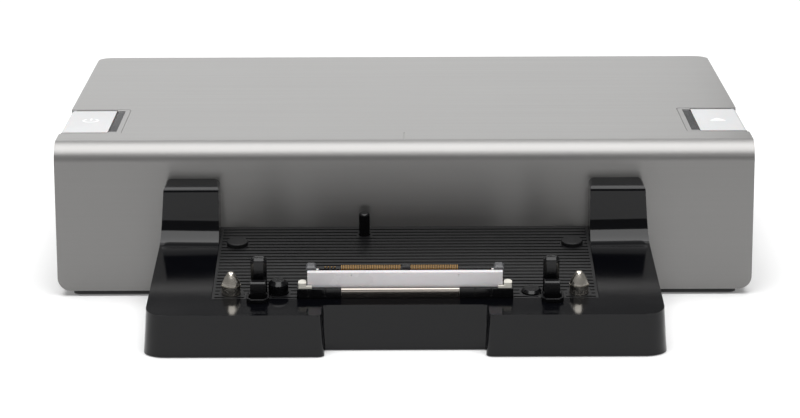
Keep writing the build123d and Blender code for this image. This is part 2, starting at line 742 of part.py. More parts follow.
well_floor = well_bottom + 1.5
with BuildPart() as switch_board:
    with Locations((switch_x, switch_y + 4, well_floor)):
        Box(12, 18, 1.2, align=on_floor)
with BuildPart() as power_switch:
    with Locations((switch_x, switch_y, well_floor + 1.2)):
        Box(6, 6, 3.6, align=on_floor)
    with Locations((switch_x, switch_y, well_floor + 5.5)):
        Cylinder(1.9, 7.0, mode=Mode.SUBTRACT)

with BuildPart() as eject_button:
    add(button_cap(1))
    with Locations((lever_x, stem_y, cap_ceiling + 0.2)):
        Cylinder(2.2, cap_ceiling + 0.2 - 42.6, align=(Align.CENTER, Align.CENTER, Align.MAX))


def coil(place, axis, length, radius, wire, turns):
    """Coil spring that starts at place and runs along axis."""
    rise = length - 2 * wire
    with BuildPart() as spring:
        with BuildLine():
            path = Helix(pitch=rise / turns, height=rise, radius=radius, center=place, direction=axis)
        with BuildSketch(Plane(origin=path @ 0, z_dir=path % 0)):
            Circle(wire)
        sweep(path=path)
    return spring.part


button_spring_x, button_spring_y = 160.0, 4.0
button_spring_length = cap_ceiling - well_floor - 1.0
spring_seat = well_floor + 0.6


def button_spring(side):
    """Coil between the floor of a well and its cap."""
    seat = (side * button_spring_x, button_spring_y, spring_seat)
    return coil(seat, (0, 0, 1), button_spring_length, 2.6, wire_radius, 5)


with BuildPart() as power_spring:
    add(button_spring(-1))
with BuildPart() as eject_spring:
    add(button_spring(1))

# ------------------------------------------------------------------ deck casing and insert
with BuildPart() as deck_shell:
    add(casing_volume(0, 0))
    for side in (-1, 1):
        add(horn_volume(side, 0))
    add(casing_volume(wall, deck_skin), mode=Mode.SUBTRACT)
    for side in (-1, 1):
        add(horn_volume(side, wall), mode=Mode.SUBTRACT)
    # pocket and window for the ribbed insert
    with BuildSketch(on_deck(3)):
        with Locations((0, -plate_length / 2)):
            Rectangle(2 * (plate_half + pocket_gap), plate_length + 2 * pocket_gap)
    extrude(amount=-3 - plate_thickness, mode=Mode.SUBTRACT)
    with BuildSketch(on_deck(3)):
        with Locations((0, -43.6)):
            Rectangle(172.8, 83)
        with Locations((0, (connector_front - 0.3 - 80) / 2)):
            Rectangle(2 * connector_half + 0.6, -80 - connector_front + 0.3)
        for side in (-1, 1):
            with Locations((side * hook_x, -85.5)):
                Rectangle(hook_width + 1.4, 12.2)
    extrude(amount=-12, mode=Mode.SUBTRACT)
    # screw bosses under the deck
    for x, y in base_screw_places[:4]:
        with Locations((x, y, pan_top + 0.2)):
            Cylinder(3.6, deck_z(y) - 3.0 - pan_top, align=on_floor)
            Cylinder(1.45, 11, align=on_floor, mode=Mode.SUBTRACT)

plate_holes = [(pin_x, pin_s, pin_radius + clearance)]
plate_holes += [(side * plunger_x, plunger_s, plunger_radius + clearance) for side in (-1, 1)]
plate_holes += [(side * cone_x, cone_s, cone_radius + 0.1) for side in (-1, 1)]

with BuildPart() as ribbed_plate:
    with BuildSketch(on_deck(-plate_thickness)):
        with Locations((0, (plate_back - plate_length) / 2)):
            Rectangle(2 * plate_half, plate_length + plate_back)
    extrude(amount=plate_thickness)
    with BuildSketch(on_deck(0)):
        with Locations((0, first_groove - rib_pitch * (rib_count - 1) / 2)):
            with GridLocations(1, rib_pitch, 1, rib_count):
                Rectangle(2 * plate_half - 2.4, groove_width)
        for x, s, r in plate_holes:
            with Locations((x, s)):
                Circle(ring_radius if r > 4 else r + 1.0, mode=Mode.SUBTRACT)
        for side in (-1, 1):
            with Locations((side * pad_x, pad_s)):
                Circle(pad_radius + 0.5, mode=Mode.SUBTRACT)
            with Locations((side * hook_x, -84)):
                Rectangle(13, 9, mode=Mode.SUBTRACT)
    extrude(amount=-groove_depth, mode=Mode.SUBTRACT)
    with BuildSketch(on_deck(1)):
        for x, s, r in plate_holes:
            with Locations((x, s)):
                Circle(r)
        with Locations((0, (connector_front + connector_back) / 2 - 1)):
            Rectangle(2 * connector_half + 0.4, connector_back - connector_front + 2.4)
        for side in (-1, 1):
            with Locations((side * post_x, post_s)):
                RectangleRounded(7.8, 5.8, 1.6)
            with Locations((side * hook_x, -86)):
                Rectangle(hook_width + 1.2, 8.8)
    extrude(amount=-5, mode=Mode.SUBTRACT)
    with BuildSketch(on_deck(1)):
        with Locations((-pad_x, pad_s), (pad_x, pad_s)):
            Circle(pad_radius)
    extrude(amount=-2.0, mode=Mode.SUBTRACT)

with BuildPart() as deck_pads:
    with BuildSketch(on_deck(-1.0)):
        with Locations((-pad_x, pad_s), (pad_x, pad_s)):
            Circle(pad_radius)
    extrude(amount=1.0 + pad_height)
    fillet(deck_pads.edges().filter_by(GeomType.CIRCLE).group_by(Axis.Z)[-1], radius=0.5)

# ------------------------------------------------------------------ frame, cones, posts
with BuildPart() as dock_frame:
    with BuildSketch(on_deck(frame_under)):
        with Locations((0, -75.5)):
            Rectangle(184, 27)
        with Locations((0, -79)):
            Rectangle(2 * connector_half + 0.8, 15.8 + 6, mode=Mode.SUBTRACT)
        for side in (-1, 1):
            with Locations((side * plunger_x, plunger_s)):
                Circle(plunger_radius + clearance, mode=Mode.SUBTRACT)
            with Locations((side * hook_x, -87)):
                Rectangle(hook_width + 1.4, 10, mode=Mode.SUBTRACT)
            with Locations((side * cone_x, cone_s)):
                Circle(2.55, mode=Mode.SUBTRACT)
    extrude(amount=frame_thickness)

# turned pin: riveted head, seat in the frame, relief at its foot, straight wall, groove, rounded nose
nose_foot, nose_top = (4.45, cone_shoulder + 0.3), (1.7, cone_height - 0.6)
nose_flat = (0.7, cone_height)
with BuildPart() as guide_cones:
    for side in (-1, 1):
        with BuildSketch(deck_section(side * cone_x, cone_s)):
            with BuildLine():
                Polyline(
                    nose_flat, (0, cone_height), (0, frame_under - 1.0),
                    (3.4, frame_under - 1.0), (3.4, frame_under),
                    (2.5, frame_under), (2.5, -deck_skin), (cone_seat, -deck_skin),
                    (cone_seat, cone_relief), (cone_radius, cone_relief), (cone_radius, cone_shoulder),
                    (4.35, cone_shoulder), (4.35, cone_shoulder + 0.3), nose_foot,
                )
                ThreePointArc(nose_foot, (3.26, 7.62), nose_top)
                ThreePointArc(nose_top, (1.33, cone_height - 0.2), nose_flat)
            make_face()
        revolve(axis=Axis(deck_point(side * cone_x, cone_s, 0), deck_normal))

with BuildPart() as guide_posts:
    with BuildSketch(on_deck(-deck_skin)):
        with Locations((-post_x, post_s), (post_x, post_s)):
            Rectangle(7.5, 5.4)
        chamfer(vertices(), length=1.5)
    extrude(amount=deck_skin + post_height)
    tops = guide_posts.faces().filter_by(on_deck()).group_by(Axis.Z)[-1]
    chamfer(tops.edges(), length=1.2)


# ------------------------------------------------------------------ latch hooks and eject drive
def latch_hook(side):
    """Hook on the latch plate; its nose points back over the notebook's catch."""
    front, back = hook_s - hook_thickness / 2, hook_s + hook_thickness / 2
    foot_z = latch_z + latch_thickness
    slope = tan(tilt)
    front_y, front_z = deck_yz(front, 0)
    back_y, back_z = deck_yz(back, 0)
    with BuildPart() as hook:
        with BuildSketch(Plane.YZ.offset(side * hook_x - hook_width / 2)):
            Polygon(
                (front_y + (front_z - foot_z) * slope, foot_z),
                deck_yz(front, hook_height - 0.6),
                deck_yz(front + 0.6, hook_height),
                deck_yz(back + 0.5, hook_height),
                deck_yz(back + 1.1, hook_height - 1.0),
                deck_yz(back + 1.1, hook_height - 2.0),
                deck_yz(back, hook_height - 3.2),
                (back_y + (back_z - foot_z) * slope, foot_z),
                align=None,
            )
        extrude(amount=hook_width)
    return hook.part


with BuildPart() as left_hook:
    add(latch_hook(-1))
with BuildPart() as right_hook:
    add(latch_hook(1))

with BuildPart() as hook_collars:
    with BuildSketch(on_deck(0)):
        for side in (-1, 1):
            with BuildLine():
                x = side * hook_x
                Polyline(
                    (x - 5.2, -83.6), (x - 5.2, -90.4), (x - 3.1, -92.7), (x + 3.1, -92.7),
                    (x + 5.2, -90.4), (x + 5.2, -83.6), (x + 4.2, -83.6), (x + 4.2, -90.0),
                    (x + 2.6, -91.7), (x - 2.6, -91.7), (x - 4.2, -90.0), (x - 4.2, -83.6),
                    close=True,
                )
            make_face()
    extrude(amount=2.0)

with BuildPart() as latch_plate:
    with BuildSketch(Plane.XY.offset(latch_z)):
        with Locations((13, -128)):
            Rectangle(176, 13)
        with Locations((-hook_x, -134), (hook_x, -134)):
            Rectangle(12, 25)
        with Locations((96, -86)):
            Rectangle(9, 97)
        with Locations((123.4, -39)):
            Rectangle(64, 13)
        for x, y in stud_places:
            with Locations((x, y + latch_travel / 2)):
                SlotOverall(latch_travel + 4.4, 3.6, rotation=90, mode=Mode.SUBTRACT)
        with Locations((lever_x, pivot_y)):
            Rectangle(5.8, 5.0, mode=Mode.SUBTRACT)
    extrude(amount=latch_thickness)
    with Locations((-40, -128, latch_z + latch_thickness)):
        Box(6, 1.6, 5, align=on_floor)

with BuildPart() as latch_spring:
    hook_y = -126.7
    add(coil((-40, hook_y, 9.2), (0, 1, 0), spring_post_y - 1.4 - hook_y, 2.0, wire_radius, 9))

with BuildPart() as eject_lever:
    with BuildSketch(Plane.YZ.offset(lever_x - 2.5)):
        with Locations((pivot_y, pivot_z)):
            Circle(4.6)
        with Locations((pivot_y, pivot_z)):
            Rectangle(lever_reach + 4.0, 4.0, align=(Align.MIN, Align.CENTER))
            Rectangle(4.0, pivot_z - 4.2, align=(Align.CENTER, Align.MAX))
        fillet(vertices().group_by(Axis.Y)[0], radius=1.0)
        with Locations((pivot_y, pivot_z)):
            Circle(2.05, mode=Mode.SUBTRACT)
    extrude(amount=5.0)

with BuildPart() as lever_pin:
    with BuildSketch(Plane.YZ.offset(lever_x - 4.0)):
        with Locations((pivot_y, pivot_z)):
            Circle(2.0)
    extrude(amount=9.0)
    with BuildSketch(Plane.YZ.offset(lever_x - 4.0)):
        with Locations((pivot_y, pivot_z)):
            Circle(3.4)
    extrude(amount=1.0)

with BuildPart() as lever_bracket:
    with Locations((lever_x + 3.5, pivot_y, pan_top)):
        Box(1.5, 18, 44, align=(Align.MIN, Align.CENTER, Align.MIN))
        Box(3.6, 18, 1.5, align=(Align.MIN, Align.CENTER, Align.MIN))
    with BuildSketch(Plane.YZ.offset(lever_x)):
        with Locations((pivot_y, pivot_z)):
            Circle(2.05)
    extrude(amount=10, mode=Mode.SUBTRACT)


# ------------------------------------------------------------------ plungers and presence pin
def plunger(side, top, bevel):
    """Round plunger with a flange that stops under the frame."""
    x = side * plunger_x
    under = frame_under - clearance
    with BuildPart() as piece:
        with BuildSketch(on_deck(under)):
            with Locations((x, plunger_s)):
                Circle(plunger_radius)
        extrude(amount=top - under)
        rim = piece.edges().filter_by(GeomType.CIRCLE).group_by(Axis.Z)[-1]
        chamfer(rim, length=bevel)
        with BuildSketch(on_deck(under)):
            with Locations((x, plunger_s)):
                Circle(5.45)
        extrude(amount=-1.2)
    return piece.part


def plunger_cup(side):
    """Cup under the frame that holds a plunger's spring."""
    with BuildPart() as cup:
        with BuildSketch(on_deck(frame_under)):
            with Locations((side * plunger_x, plunger_s)):
                Circle(6.3)
        extrude(amount=-10.2)
        with BuildSketch(on_deck(frame_under)):
            with Locations((side * plunger_x, plunger_s)):
                Circle(5.75)
        extrude(amount=-9.4, mode=Mode.SUBTRACT)
    return cup.part


def plunger_spring(side):
    """Coil that stands in a plunger's cup."""
    seat = deck_point(side * plunger_x, plunger_s, plunger_spring_seat)
    return coil(seat, deck_normal, plunger_spring_length, 3.6, wire_radius, 4)


with BuildPart() as left_plunger:
    add(plunger(-1, plunger_heights["left"], 1.7))
with BuildPart() as right_plunger:
    add(plunger(1, plunger_heights["right"], 1.1))
with BuildPart() as left_plunger_spring:
    add(plunger_spring(-1))
with BuildPart() as right_plunger_spring:
    add(plunger_spring(1))

with BuildPart() as presence_pin:
    with BuildSketch(on_deck(-plate_thickness - clearance)):
        with Locations((pin_x, pin_s)):
            Circle(pin_radius)
    extrude(amount=pin_height + plate_thickness + clearance)
    tip_edge = presence_pin.edges().filter_by(GeomType.CIRCLE).group_by(Axis.Z)[-1]
    fillet(tip_edge, radius=1.0)
    with BuildSketch(on_deck(-plate_thickness - clearance)):
        with Locations((pin_x, pin_s)):
            Circle(4.0)
    extrude(amount=-1.4)
    with BuildSketch(on_deck(-plate_thickness - clearance - 1.4)):
        with Locations((pin_x, pin_s)):
            Circle(1.4)
    extrude(amount=-9.6)

with BuildPart() as spring_cups:
    add(plunger_cup(-1))
    add(plunger_cup(1))
    with BuildSketch(on_deck(-plate_thickness)):
        with Locations((pin_x, pin_s)):
            Circle(5.2)
    extrude(amount=-23.6)
    with BuildSketch(on_deck(-plate_thickness)):
        with Locations((pin_x, pin_s)):
            Circle(4.35)
    extrude(amount=-22.6, mode=Mode.SUBTRACT)

with BuildPart() as pin_spring:
    seat = deck_point(pin_x, pin_s, pin_spring_seat)
    add(coil(seat, deck_normal, pin_spring_length, 2.9, wire_radius, 10))

# ------------------------------------------------------------------ docking connector
connector_middle = (connector_front + connector_back) / 2
with BuildPart() as docking_board:
    with BuildSketch(on_deck(board_h)):
        with Locations((0, -76.5)):
            Rectangle(100, 25)
    extrude(amount=-board_thickness)

with BuildPart() as connector_base:
    with BuildSketch(on_deck(board_h)):
        with Locations((0, connector_middle)):
            Rectangle(2 * connector_half, connector_back - connector_front)
    extrude(amount=ledge_top - board_h)
    # raised end blocks either side of the metal bar
    with BuildSketch(on_deck(ledge_top)):
        for low, high in ((-connector_half, bar_left - 0.1), (bar_right + 0.1, connector_half)):
            with Locations(((low + high) / 2, connector_front + ledge_depth / 2)):
                Rectangle(high - low, ledge_depth)
    extrude(amount=block_top - ledge_top)
    # seat of the metal bar, down to the deck
    with BuildSketch(on_deck(bar_foot)):
        with Locations(((bar_left + bar_right) / 2, connector_front)):
            Rectangle(bar_right - bar_left + 0.2, 2 * ledge_depth)
    extrude(amount=block_top, mode=Mode.SUBTRACT)
    with BuildSketch(on_deck(5)):
        with Locations((0, (hood_front + hood_back) / 2)):
            Rectangle(2 * hood_half + 0.7, hood_back - hood_front + 0.6)
    extrude(amount=board_h - 5, mode=Mode.SUBTRACT)
    # moulded breaks in the end blocks
    with BuildSketch(on_deck(6)):
        for x in (-45.0, -37.2, 32.6, 40.2):
            with Locations((x, connector_front)):
                Rectangle(0.6, 1.0)
    extrude(amount=-5.2, mode=Mode.SUBTRACT)

with BuildPart() as connector_bar:
    with BuildSketch(Plane.YZ.offset(bar_left)):
        with BuildLine():
            low_front = deck_yz(connector_front, bar_foot)
            high_front = deck_yz(connector_front, 3.5)
            crown = deck_yz(connector_front + ledge_depth / 2, 4.7)
            high_back = deck_yz(connector_front + ledge_depth, 3.5)
            low_back = deck_yz(connector_front + ledge_depth, bar_foot)
            Line(low_front, high_front)
            ThreePointArc(high_front, crown, high_back)
            Line(high_back, low_back)
            Line(low_back, low_front)
        make_face()
    extrude(amount=bar_right - bar_left)

with BuildPart() as connector_shutter:
    with BuildSketch(on_deck(-1.0)):
        with Locations((0, (hood_front + hood_back) / 2)):
            Rectangle(2 * hood_half, hood_back - hood_front)
        with Locations((0, (slot_front + slot_back) / 2)):
            Rectangle(2 * slot_half, slot_back - slot_front, mode=Mode.SUBTRACT)
    extrude(amount=hood_top + 1.0)
    # lowered end walls that carry the corner guides
    with BuildSketch(on_deck(hood_top + 1)):
        for side in (-1, 1):
            with Locations((side * (hood_half - 1.9), (slot_front + slot_back) / 2)):
                Rectangle(6.0, slot_back - slot_front)
    extrude(amount=-3.2, mode=Mode.SUBTRACT)
    # the back wall stays below the contacts
    with BuildSketch(on_deck(hood_back_top)):
        with Locations((0, (slot_back + hood_back) / 2 + 0.5)):
            Rectangle(2 * hood_half + 1, hood_back - slot_back + 1)
    extrude(amount=hood_top, mode=Mode.SUBTRACT)
    rim_edges = connector_shutter.edges().filter_by(Axis.X).group_by(Axis.Z)[-1]
    fillet(rim_edges, radius=0.4)
    # two small dots in the front face
    with BuildSketch(deck_section(0, hood_front)):
        with Locations((-dot_x, hood_top - dot_drop), (dot_x, hood_top - dot_drop)):
            Circle(dot_radius)
    extrude(amount=-0.8, mode=Mode.SUBTRACT)

with BuildPart() as corner_guides:
    with BuildSketch(on_deck(hood_top - 2.2)):
        for side in (-1, 1):
            with Locations((side * guide_x, (slot_front + slot_back) / 2)):
                Rectangle(guide_width, slot_back - slot_front - 0.2)
    extrude(amount=guide_top - hood_top + 2.2)
    guide_tops = corner_guides.faces().filter_by(on_deck()).group_by(Axis.Z)[-1]
    chamfer(guide_tops.edges(), length=0.8)

with BuildPart() as end_sleeves:
    with BuildSketch(on_deck(ledge_top)):
        with Locations((-47.9, -82.2), (47.9, -82.2)):
            Circle(1.85)
    extrude(amount=5.1)
    sleeve_tops = end_sleeves.edges().filter_by(GeomType.CIRCLE).group_by(Axis.Z)[-1]
    fillet(sleeve_tops, radius=0.5)
    # foot of each clip, over the end block and in front of the shutter
    with BuildSketch(on_deck(block_top)):
        for side in (-1, 1):
            with Locations((side * 46.5, -85.1)):
                Rectangle(6.2, 1.4)
    extrude(amount=1.0)
    with BuildSketch(on_deck(block_top)):
        for side in (-1, 1):
            with Locations((side * 47.95, -84.0)):
                RectangleRounded(3.7, 3.6, 0.8)
    extrude(amount=2.6)

tongue_front, tongue_back, tongue_top = -79.3, -76.6, 11.8
with BuildPart() as contact_tongue:
    with BuildSketch(on_deck(board_h)):
        with Locations((0, (tongue_front + tongue_back) / 2)):
            Rectangle(80.8, tongue_back - tongue_front)
    extrude(amount=tongue_top - board_h)
    with BuildSketch(on_deck(board_h)):
        with Locations((0.45, (tongue_front + tongue_back) / 2)):
            Rectangle(3.6, tongue_back - tongue_front + 1.6)
    extrude(amount=key_top - board_h)

contact_xs = [-29.6 + contact_pitch * i for i in range(35)] + [2.9 + contact_pitch * i for i in range(28)]
with BuildPart() as gold_contacts:
    with BuildSketch(on_deck(tongue_top)):
        for x in contact_xs:
            with Locations((x, (tongue_front + tongue_back) / 2)):
                Rectangle(0.45, tongue_back - tongue_front + 1.2)
    extrude(amount=0.5)
    with BuildSketch(on_deck(tongue_top)):
        for x in contact_xs:
            with Locations((x, tongue_front - 0.3), (x, tongue_back + 0.3)):
                Rectangle(0.45, 0.6)
    extrude(amount=-5.0)
    with BuildSketch(on_deck(tongue_top)):
        for i in range(4):
            with Locations((-37.3 + 1.5 * i, (tongue_front + tongue_back) / 2)):
                Circle(0.4)
    extrude(amount=0.4)

with BuildPart() as shutter_springs:
    for side in (-1, 1):
        add(coil(deck_point(side * 43.4, -78.7, board_h + 0.4), deck_normal, 6.3, 1.5, 0.25, 4))

# ------------------------------------------------------------------ labels and files
pieces = {
    "bottom_pan": bottom_pan,
    "rubber_feet": rubber_feet,
    "base_screws": base_screws,
    "housing_cover": housing_cover,
    "side_panel_left": side_panel_left,
    "side_panel_right": side_panel_right,
    "rear_panel": rear_panel,
    "power_inlet": power_inlet,
    "network_jack": network_jack,
    "usb_ports": usb_ports,
    "ps2_ports": ps2_ports,
    "vga_port": vga_port,
    "dvi_port": dvi_port,
    "serial_port": serial_port,
    "parallel_port": parallel_port,
    "audio_jacks": audio_jacks,
    "main_board": main_board,
    "board_screws": board_screws,
    "board_chips": board_chips,
    "ribbon_cable": ribbon_cable,
    "bay_cage": bay_cage,
    "bay_module": bay_module,
    "button_bezels": button_bezels,
    "power_button": power_button,
    "eject_button": eject_button,
    "light_strips": light_strips,
    "switch_board": switch_board,
    "power_switch": power_switch,
    "power_spring": power_spring,
    "eject_spring": eject_spring,
    "deck_shell": deck_shell,
    "ribbed_plate": ribbed_plate,
    "deck_pads": deck_pads,
    "dock_frame": dock_frame,
    "guide_cones": guide_cones,
    "guide_posts": guide_posts,
    "left_hook": left_hook,
    "right_hook": right_hook,
    "hook_collars": hook_collars,
    "latch_plate": latch_plate,
    "latch_spring": latch_spring,
    "eject_lever": eject_lever,
    "lever_pin": lever_pin,
    "lever_bracket": lever_bracket,
    "left_plunger": left_plunger,
    "right_plunger": right_plunger,
    "left_plunger_spring": left_plunger_spring,
    "right_plunger_spring": right_plunger_spring,
    "presence_pin": presence_pin,
    "spring_cups": spring_cups,
    "pin_spring": pin_spring,
    "docking_board": docking_board,
    "connector_base": connector_base,
    "connector_bar": connector_bar,
    "connector_shutter": connector_shutter,
    "corner_guides": corner_guides,
    "end_sleeves": end_sleeves,
    "contact_tongue": contact_tongue,
    "gold_contacts": gold_contacts,
    "shutter_springs": shutter_springs,
}
for name, piece in pieces.items():
    piece.part.label = name
    export_step(piece.part, f"parts/{name}.step")
print(len(pieces), "pieces")
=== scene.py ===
import json
import math

import bmesh
import bpy
from mathutils import Matrix, Vector


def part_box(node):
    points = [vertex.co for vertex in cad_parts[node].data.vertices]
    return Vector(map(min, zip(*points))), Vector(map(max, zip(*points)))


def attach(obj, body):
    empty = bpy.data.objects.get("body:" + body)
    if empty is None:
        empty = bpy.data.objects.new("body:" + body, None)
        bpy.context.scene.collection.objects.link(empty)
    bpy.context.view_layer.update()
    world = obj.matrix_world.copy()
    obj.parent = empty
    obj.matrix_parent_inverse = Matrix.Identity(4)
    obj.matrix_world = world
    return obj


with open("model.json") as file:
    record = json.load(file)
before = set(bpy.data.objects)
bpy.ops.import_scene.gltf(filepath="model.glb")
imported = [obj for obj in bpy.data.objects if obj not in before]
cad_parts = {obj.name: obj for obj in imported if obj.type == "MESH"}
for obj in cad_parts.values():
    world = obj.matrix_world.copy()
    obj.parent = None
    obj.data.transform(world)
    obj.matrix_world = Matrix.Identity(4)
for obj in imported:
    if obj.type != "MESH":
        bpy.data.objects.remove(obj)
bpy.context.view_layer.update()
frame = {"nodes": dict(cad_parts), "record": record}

MM = 0.001
scene = bpy.context.scene

STREAK_SHARE = 0.75                    # of the silver's change in tone, the rest is cloudiness
SILVER_DARK, SILVER_LIGHT = 0.94, 1.05
DUST_DARK, DUST_LIGHT = (0.0012, 0.0013, 0.002), (0.003, 0.0032, 0.004)
MASK_GREEN, TRACK_GREEN = (0.06, 0.26, 0.11), (0.015, 0.11, 0.05)
WELD_MM, SHARP_DEGREES = 0.002, 40     # points joined, and edges rounded, when a piece is softened


# ------------------------------------------------------------------ material helpers
class Shader:
    """A node material with a Principled shader, and short calls for the nodes it needs."""

    def __init__(self, name, color=None, **values):
        self.material = bpy.data.materials.new(name)
        self.material.use_nodes = True
        self.tree = self.material.node_tree
        self.bsdf = self.tree.nodes["Principled BSDF"]
        if color is not None:
            self.bsdf.inputs["Base Color"].default_value = (*color, 1.0)
        for key, value in values.items():
            self.bsdf.inputs[key.replace("_", " ").title().replace("Ior", "IOR")].default_value = value

    def node(self, kind, **values):
        made = self.tree.nodes.new(kind)
        for key, value in values.items():
            setattr(made, key, value)
        return made

    def link(self, output, target):
        self.tree.links.new(output, target)

    def place(self, scale=(1, 1, 1)):
        """Object coordinates in metres, scaled."""
        coordinates = self.node("ShaderNodeTexCoord")
        mapping = self.node("ShaderNodeMapping")
        mapping.inputs["Scale"].default_value = scale
        self.link(coordinates.outputs["Object"], mapping.inputs["Vector"])
        return mapping.outputs["Vector"]

    def noise(self, place, scale, detail=3.0, roughness=0.5):
        made = self.node("ShaderNodeTexNoise")
        made.inputs["Scale"].default_value = scale
        made.inputs["Detail"].default_value = detail
        made.inputs["Roughness"].default_value = roughness
        self.link(place, made.inputs["Vector"])
        return made.outputs[0]

    def ramp(self, value, low, high, out_low, out_high):
        made = self.node("ShaderNodeMapRange")
        made.inputs["From Min"].default_value = low
        made.inputs["From Max"].default_value = high
        made.inputs["To Min"].default_value = out_low
        made.inputs["To Max"].default_value = out_high
        self.link(value, made.inputs["Value"])
        return made.outputs["Result"]

    def blend(self, factor, first, second):
        """Colour between first and second."""
        made = self.node("ShaderNodeMix", data_type="RGBA")
        colors = [i for i in made.inputs if i.type == "RGBA"]
        colors[0].default_value = (*first, 1)
        colors[1].default_value = (*second, 1)
        self.link(factor, made.inputs[0])
        return [o for o in made.outputs if o.type == "RGBA"][0]

    def roughness(self, value):
        self.link(value, self.bsdf.inputs["Roughness"])

    def color(self, value):
        self.link(value, self.bsdf.inputs["Base Color"])

    def bump(self, height, depth_mm, strength=1.0):
        made = self.node("ShaderNodeBump")
        made.inputs["Strength"].default_value = strength
        made.inputs["Distance"].default_value = depth_mm * MM
        self.link(height, made.inputs["Height"])
        self.link(made.outputs["Normal"], self.bsdf.inputs["Normal"])


def brushed_silver(name, level, roughness, metallic=1.0, stretch=0.0):
    """Satin metal with fine streaks along X and faint cloudiness."""
    s = Shader(name, metallic=metallic)
    if stretch:
        # highlights spread across the brushing
        s.bsdf.inputs["Anisotropic"].default_value = stretch
        s.bsdf.inputs["Anisotropic Rotation"].default_value = 0.25
        brushing = s.node("ShaderNodeCombineXYZ")
        brushing.inputs["X"].default_value = 1.0
        s.link(brushing.outputs[0], s.bsdf.inputs["Tangent"])
    streaks = s.noise(s.place((6, 900, 900)), 1.0, 4.0, 0.6)
    cloud = s.noise(s.place(), 9.0, 3.0, 0.55)
    tone = s.node("ShaderNodeMath", operation="MULTIPLY_ADD")
    s.link(streaks, tone.inputs[0])
    tone.inputs[1].default_value = STREAK_SHARE
    s.link(s.ramp(cloud, 0.3, 0.7, 0.0, 1 - STREAK_SHARE), tone.inputs[2])
    low = [c * SILVER_DARK for c in level]
    high = [c * SILVER_LIGHT for c in level]
    s.color(s.blend(tone.outputs[0], low, high))
    s.roughness(s.ramp(streaks, 0.3, 0.7, roughness - 0.02, roughness + 0.03))
    s.bump(streaks, 0.005, 0.15)
    return s.material


def moulded(name, color, roughness, grain_mm=0.5, grain_depth=0.02, spread=0.08, **values):
    """Moulded plastic or rubber: fine grain, slight change of gloss and tone."""
    s = Shader(name, **values)
    grain = s.noise(s.place(), 1 / (grain_mm * MM), 2.0, 0.5)
    wear = s.noise(s.place(), 22.0, 5.0, 0.6)
    low = [c * 0.85 for c in color]
    high = [min(c * 1.15 + 0.002, 1.0) for c in color]
    s.color(s.blend(wear, low, high))
    s.roughness(s.ramp(wear, 0.3, 0.7, max(roughness - spread / 2, 0.02), roughness + spread / 2))
    s.bump(grain, grain_depth, 0.6)
    return s.material


def gloss_black():
    """Polished black moulding with faint ripple, dust and smears."""
    s = Shader("gloss_black", specular_ior_level=0.28)
    dust = s.noise(s.place(), 900.0, 2.0, 0.6)
    smear = s.noise(s.place((1, 3, 3)), 14.0, 4.0, 0.6)
    s.color(s.blend(s.ramp(dust, 0.62, 0.8, 0.0, 1.0), DUST_DARK, DUST_LIGHT))
    s.roughness(s.ramp(smear, 0.3, 0.75, 0.08, 0.16))
    s.bump(s.noise(s.place(), 55.0, 1.0, 0.4), 0.05, 0.15)
    return s.material


def turned_metal(name, color, roughness, ring_mm=0.35):
    """Turned bright metal with fine tool rings."""
    s = Shader(name, metallic=1.0)
    rings = s.noise(s.place((0.2, 0.2, 1.0)), 1 / (ring_mm * MM), 2.0, 0.5)
    wear = s.noise(s.place(), 160.0, 3.0, 0.6)
    low = [c * 0.8 for c in color]
    s.color(s.blend(wear, low, color))
    s.roughness(s.ramp(wear, 0.3, 0.7, roughness, roughness + 0.12))
    s.bump(rings, 0.02, 0.4)
    return s.material


def circuit_board():
    """Green solder mask with paler tracks under it."""
    s = Shader("board_green", roughness=0.35)
    tracks = s.node("ShaderNodeTexVoronoi", feature="DISTANCE_TO_EDGE", distance="MANHATTAN")
    tracks.inputs["Scale"].default_value = 160.0
    s.link(s.place((1, 1, 0.2)), tracks.inputs["Vector"])
    s.color(s.blend(s.ramp(tracks.outputs["Distance"], 0.04, 0.09, 0.0, 1.0), MASK_GREEN, TRACK_GREEN))
    s.bump(tracks.outputs["Distance"], 0.03, 0.3)
    return s.material


def ribbon():
    """Flat cable: parallel conductors."""
    s = Shader("ribbon_grey", roughness=0.45)
    wires = s.node("ShaderNodeTexWave", wave_type="BANDS", bands_direction="X")
    wires.inputs["Scale"].default_value = 125.0
    s.link(s.place(), wires.inputs["Vector"])
    s.color(s.blend(wires.outputs["Fac"], (0.28, 0.28, 0.3), (0.5, 0.5, 0.52)))
    s.bump(wires.outputs["Fac"], 0.2, 0.6)
    return s.material


